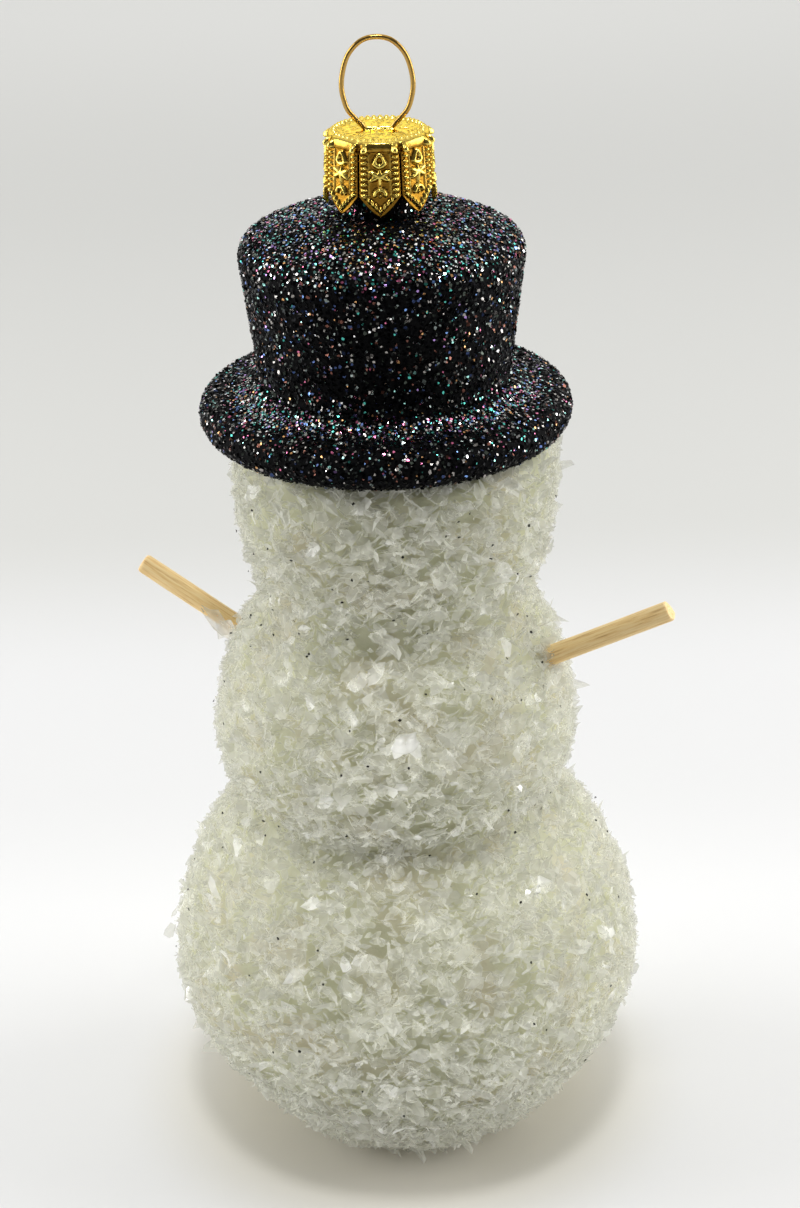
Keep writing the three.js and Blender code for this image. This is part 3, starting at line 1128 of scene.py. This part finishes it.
def cap_mesh():
    """The cap's sheet as one surface: eight slit petals, a rounded shoulder and the flat top."""
    low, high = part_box("cap")
    axis_x = (low[0] + high[0]) / 2
    tip, top = low[2], high[2]
    wall = CAP_WALL
    slit_top, edge = top - wall["slit_top"], top - wall["edge_height"]
    edge_radius, top_radius = wall["edge_radius"], wall["top_radius"]
    columns, petal_rows, shoulder_rows, disc_rows = 40, 60, 12, 34
    petal_angle = 2 * math.pi / PETALS
    half_angle = petal_angle / 2 - wall["slit"] / edge_radius
    spread = np.linspace(-1, 1, columns + 1)
    angles = np.concatenate([HEADWEAR_TURN + petal_angle * k + half_angle * spread for k in range(PETALS)])
    across_share = np.tile(spread, PETALS)
    count = len(angles)
    half_width = half_angle * edge_radius
    across = across_share * half_width
    facet = 1 - 0.3 * (1 - math.cos(petal_angle / 2)) * (1 - across_share**2) / 0.5
    heights, radii, relief = [], [], []
    for row in range(petal_rows):
        foot = tip + wall["point"] * np.abs(across_share) ** 1.4
        height = foot + (slit_top - foot) * row / (petal_rows - 1)
        heights.append(height)
        radii.append(np.interp(height, [tip, edge], [wall["tip_radius"], edge_radius]) * facet)
        relief.append(petal_relief(across, height - tip, half_width, slit_top - tip + 0.25 * MM))
    from_slit = half_width - np.abs(across)
    for row in range(1, shoulder_rows + 1):
        share = row / shoulder_rows
        if share < 0.4:
            height = slit_top + (edge - slit_top) * share / 0.4
            radius = edge_radius
        else:
            turn = (share - 0.4) / 0.6 * math.pi / 2
            height = edge + (top - edge) * math.sin(turn)
            radius = top_radius + (edge_radius - top_radius) * math.cos(turn)
        knob = 1.5 * bead(from_slit - 0.42 * MM, height - slit_top - 0.2 * MM, 0.34 * MM, 0.5 * MM)
        heights.append(np.full(count, height))
        radii.append(radius * (1 - (1 - facet) * (1 - share)))
        relief.append(knob - 0.9 * bell(from_slit, 0, 0.14 * MM) * (1 - share**3))
    for row in range(1, disc_rows):
        radius = top_radius * (1 - row / disc_rows)
        heights.append(np.full(count, top))
        radii.append(np.full(count, radius))
        relief.append(top_relief(radius, angles, top_radius - 0.3 * MM, 1.25 * MM))

    height, radius, bump = (np.array(values) for values in (heights, radii, relief))
    steep = np.zeros_like(height)
    steep[: petal_rows + int(shoulder_rows * 0.5)] = 1.0
    on_top = np.clip((np.arange(len(height)) - petal_rows) / shoulder_rows, 0, 1)
    # Painted highlight and reflection: the relief and the rows towards the flat top get the lighter gold,
    # and the flat petals get the darker one as painted shade.
    raised = np.clip(0.7 * bump + 0.85 * on_top[:, None] ** 2, 0, 1)
    radius = radius + bump * wall["relief"] * steep
    height = height + bump * wall["relief"] * 0.8 * (1 - steep)
    x = axis_x + radius * np.cos(angles)
    y = radius * np.sin(angles)
    vertices = np.stack([x, y, height], axis=-1).reshape(-1, 3)
    faces = []
    for row in range(len(height) - 1):
        ring = ring_faces(row * count, count)
        if row < petal_rows - 1:
            ring = [face for column, face in enumerate(ring, 1) if column % (columns + 1)]
        faces += ring
    faces += fan_faces((len(height) - 1) * count, count, len(vertices))
    mesh = mesh_from("gold_cap", np.vstack([vertices, [axis_x, 0, top]]), faces)
    store(mesh, "raised", np.append(raised.ravel(), 1.0))
    return mesh


class SNOWMAN_OT_cap(bpy.types.Operator):
    """Makes the pressed gold cap"""

    bl_idname = "snowman.cap"
    bl_label = "Gold cap"

    def execute(self, context):
        piece = new_object("gold_cap", cap_mesh())
        sheet = piece.modifiers.new("sheet", "SOLIDIFY")
        sheet.thickness = CAP_WALL["sheet"]
        sheet.offset = -1
        # The dark gold is the flat petals' painted shade, and the bright gold is the painted highlight on
        # the relief and the top.
        material = gold("pressed_gold", (0.29, 0.145, 0.016), (0.97, 0.74, 0.16), 0.18)
        finish_piece(piece, material, "cap")
        return {"FINISHED"}


# ---- wire hanger


def hanger_route():
    """Points along the bent wire: down one leg, round the loop and down the other."""
    low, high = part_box("cap")
    axis = Vector(((low[0] + high[0]) / 2, 0, high[2]))
    leg, leg_depth = 1.25, 5.5
    half, widest, tall = 3.4, 4.4, 8.8
    right = [
        (leg, -leg_depth),
        (leg, -leg_depth / 3),
        (leg + 0.05, 0),
        (leg + 0.95, 1.1),
        (half * 0.88, widest * 0.5),
        (half, widest),
        (half * 0.83, tall * 0.785),
        (half * 0.45, tall * 0.955),
        (0, tall),
    ]
    route = right + [(-across, up) for across, up in reversed(right[:-1])]
    flat = smoothed(np.array(route), 0.25)
    out = Vector((math.cos(HEADWEAR_TURN), math.sin(HEADWEAR_TURN), 0))
    return [axis + out * (across * MM) + Vector((0, 0, up * MM)) for across, up in flat]


class SNOWMAN_OT_hanger(bpy.types.Operator):
    """Bends the wire hanger"""

    bl_idname = "snowman.hanger"
    bl_label = "Wire hanger"

    def execute(self, context):
        points = hanger_route()
        line = bpy.data.meshes.new("hanger_route")
        line.from_pydata(points, [(i, i + 1) for i in range(len(points) - 1)], [])
        host = new_object("hanger_route", line, smooth=False)
        material = gold("drawn_gold_wire", (0.48, 0.295, 0.08), (0.8, 0.55, 0.19), 0.1)
        values = {"Radius": context.scene.snowman.wire_radius, "Sides": 16, "Material": material}
        piece = new_object("wire_hanger", run_tree(host, wire_tree(), values, "wire_hanger"))
        bpy.data.objects.remove(host)
        finish_piece(piece, material, "hanger")
        return {"FINISHED"}


# ---- stick arms


def stick_ends(node):
    """The middles of a stick's root and tip, and its radius."""
    places = np.unique(vertex_values(frame["nodes"][node].data).round(7), axis=0)
    middle = places.mean(axis=0)
    _, _, axes = np.linalg.svd(places - middle)
    along = axes[0] if axes[0][2] > 0 else -axes[0]
    run = (places - middle) @ along
    across = places - middle - np.outer(run, along)
    radius = np.linalg.norm(across, axis=1).max()
    return middle + along * run.min(), middle + along * run.max(), radius


def stick_mesh(name, node, rng):
    """A round stick with a knife-cut tip, shallow flats along it and a grain direction."""
    root, tip, radius = stick_ends(node)
    along = tip - root
    length = np.linalg.norm(along)
    along /= length
    up = np.cross(along, (0, 1, 0))
    up /= np.linalg.norm(up)
    side = np.cross(up, along)
    sides = 48
    bevel = 0.3 * radius
    straight = np.linspace(0, length - bevel, 70)
    stations = [*straight, *(length - bevel * share for share in (0.7, 0.35, 0.1))]
    angles = np.linspace(0, 2 * math.pi, sides, endpoint=False)
    flats = 1 - 0.035 * np.abs(np.cos(angles * 3.5 + rng.uniform(0, 6)))
    vertices, grain = [], []
    for station in stations:
        past = max(0.0, station - (length - bevel)) / bevel
        narrow = 1 - 0.16 * past**1.6
        ripple = noise_at([(math.cos(a) * 3, math.sin(a) * 3, station * 120) for a in angles], 1)
        ring = radius * narrow * (flats + 0.022 * ripple)
        lean = 0.22 * past * radius * np.cos(angles - 0.8)
        for angle, reach_out, shift in zip(angles, ring, lean):
            flat = (math.cos(angle) * reach_out, math.sin(angle) * reach_out)
            vertices.append(root + along * (station - max(0.0, shift)) + side * flat[0] + up * flat[1])
            grain.append((flat[0] / MM, flat[1] / MM, station / MM))
    faces = []
    for row in range(len(stations) - 1):
        faces += ring_faces(row * sides, sides)
    last = np.array(vertices[-sides:])
    centre = last.mean(axis=0)
    for share in (0.72, 0.42, 0.15):
        faces += ring_faces(len(vertices) - sides, sides)
        for point in last:
            place = centre + (point - centre) * share
            offset = place - root
            vertices.append(place)
            grain.append((offset @ side / MM, offset @ up / MM, length / MM))
    faces += fan_faces(len(vertices) - sides, sides, len(vertices))
    faces += [(b, a, len(vertices) + 1) for a, b, _ in fan_faces(0, sides, 0)]
    vertices += [np.array(vertices[-sides:]).mean(axis=0), root]
    grain += [(0, 0, length / MM), (0, 0, 0)]
    mesh = mesh_from(name, vertices, faces)
    store(mesh, "grain", grain, "FLOAT_VECTOR")
    return mesh


class SNOWMAN_OT_arms(bpy.types.Operator):
    """Makes the two stick arms"""

    bl_idname = "snowman.arms"
    bl_label = "Stick arms"

    def execute(self, context):
        rng = np.random.default_rng(context.scene.snowman.seed + 3)
        material = stick_wood()
        for node in ("arm_left", "arm_right"):
            piece = new_object(f"stick_{node}", stick_mesh(f"stick_{node}", node, rng))
            finish_piece(piece, material, node)
        return {"FINISHED"}


# ---- stage


def look_at(place, target, roll=0.0):
    turn = (target - place).normalized().to_track_quat("-Z", "Y").to_matrix().to_4x4()
    return Matrix.Translation(place) @ turn @ Matrix.Rotation(roll, 4, "Z")


def area_light(name, place, target, size, power):
    lamp = bpy.data.lights.new(name, "AREA")
    lamp.shape = "RECTANGLE"
    lamp.size, lamp.size_y = size
    lamp.energy = power
    holder = bpy.data.objects.new(name, lamp)
    holder.matrix_world = look_at(place, target)
    bpy.context.scene.collection.objects.link(holder)


def studio_world():
    """An even pale surround, dimmer on the open front's side and paler where it is seen directly."""
    world = bpy.data.worlds.new("studio")
    world.use_nodes = True
    bench = Bench(world.node_tree)
    direction = bench.add("ShaderNodeTexCoord").outputs["Generated"]
    frontal = bench.add("ShaderNodeVectorMath", (0, direction), (1, TOWARDS_VIEWER), operation="DOT_PRODUCT")
    levels = (("From Min", -0.2), ("From Max", 0.75), ("To Min", 0.47), ("To Max", 0.10))
    inputs = (("Value", frontal.outputs["Value"]), *levels)
    dimming = bench.add("ShaderNodeMapRange", *inputs, interpolation_type="SMOOTHSTEP")
    seen_directly = bench.add("ShaderNodeLightPath").outputs["Is Camera Ray"]
    strength = bench.add(
        "ShaderNodeMix", ("Factor", seen_directly), ("A", dimming.outputs["Result"]), ("B", 0.6)
    )
    background = bench.nodes["Background"]
    bench.feed(background.inputs["Color"], (1.0, 1.0, 0.985, 1))
    bench.feed(background.inputs["Strength"], strength.outputs["Result"])
    return world


class SNOWMAN_OT_stage(bpy.types.Operator):
    """Sets the floor, the lights and the camera"""

    bl_idname = "snowman.stage"
    bl_label = "Stage"

    def execute(self, context):
        half = 4.0
        corners = [(-half, -half, 0), (half, -half, 0), (half, half, 0), (-half, half, 0)]
        floor = new_object("floor", mesh_from("floor", corners, [(0, 1, 2, 3)]), smooth=False)
        floor.data.materials.append(pale_floor(context.scene.snowman))

        context.scene.world = studio_world()
        aside = Matrix.Rotation(VIEW_TURN, 3, "Z")
        for name, place, size, power in (
            ("left_softbox", (-0.55, 0.06, 0.22), (0.4, 0.5), 2.85),
            ("right_softbox", (0.55, 0.06, 0.22), (0.4, 0.5), 3.05),
            ("top_softbox", (0.0, 0.05, 0.70), (0.7, 0.6), 0.75),
            ("top_lamp", (0.0, -0.16, 0.72), (0.10, 0.10), 1.3),
            ("back_softbox", (0.0, 0.70, 0.38), (1.0, 0.5), 1.35),
        ):
            area_light(name, aside @ Vector(place), Vector((0, 0, 0.05)), size, power)

        camera = bpy.data.cameras.new("camera")
        camera.lens = 70.0
        camera.sensor_width = 36.0
        camera.clip_start = 0.005
        holder = bpy.data.objects.new("camera", camera)
        context.scene.collection.objects.link(holder)
        place = aside @ Vector((0, -0.2209, 0.1717))
        target = aside @ Vector((0.00055, 0, 0.06176))
        holder.matrix_world = look_at(place, target, math.radians(-1.43))
        context.scene.camera = holder
        context.scene.view_settings.view_transform = "Standard"
        return {"FINISHED"}


# ---- panel and registration


STEPS = (
    SNOWMAN_OT_stage,
    SNOWMAN_OT_body,
    SNOWMAN_OT_flakes,
    SNOWMAN_OT_set_flakes,
    SNOWMAN_OT_hat,
    SNOWMAN_OT_glitter,
    SNOWMAN_OT_specks,
    SNOWMAN_OT_cap,
    SNOWMAN_OT_hanger,
    SNOWMAN_OT_arms,
)


class SNOWMAN_PT_sidebar(bpy.types.Panel):
    """Lists the snowman's settings and the steps that build it"""

    bl_idname = "SNOWMAN_PT_sidebar"
    bl_label = "Glass snowman"
    bl_space_type = "VIEW_3D"
    bl_region_type = "UI"
    bl_category = "Snowman"

    def draw(self, context):
        settings = context.scene.snowman
        for name in SnowmanSettings.__annotations__:
            self.layout.prop(settings, name)
        for step in STEPS:
            self.layout.operator(step.bl_idname)


CLASSES = (SnowmanSettings, *STEPS, SNOWMAN_PT_sidebar)


def register():
    for kind in CLASSES:
        bpy.utils.register_class(kind)
    bpy.types.Scene.snowman = PointerProperty(type=SnowmanSettings)


def unregister():
    del bpy.types.Scene.snowman
    for kind in reversed(CLASSES):
        bpy.utils.unregister_class(kind)


def main():
    register()
    for step in STEPS:
        group, action = step.bl_idname.split(".")
        getattr(getattr(bpy.ops, group), action)()


if __name__ == "__main__":
    main()
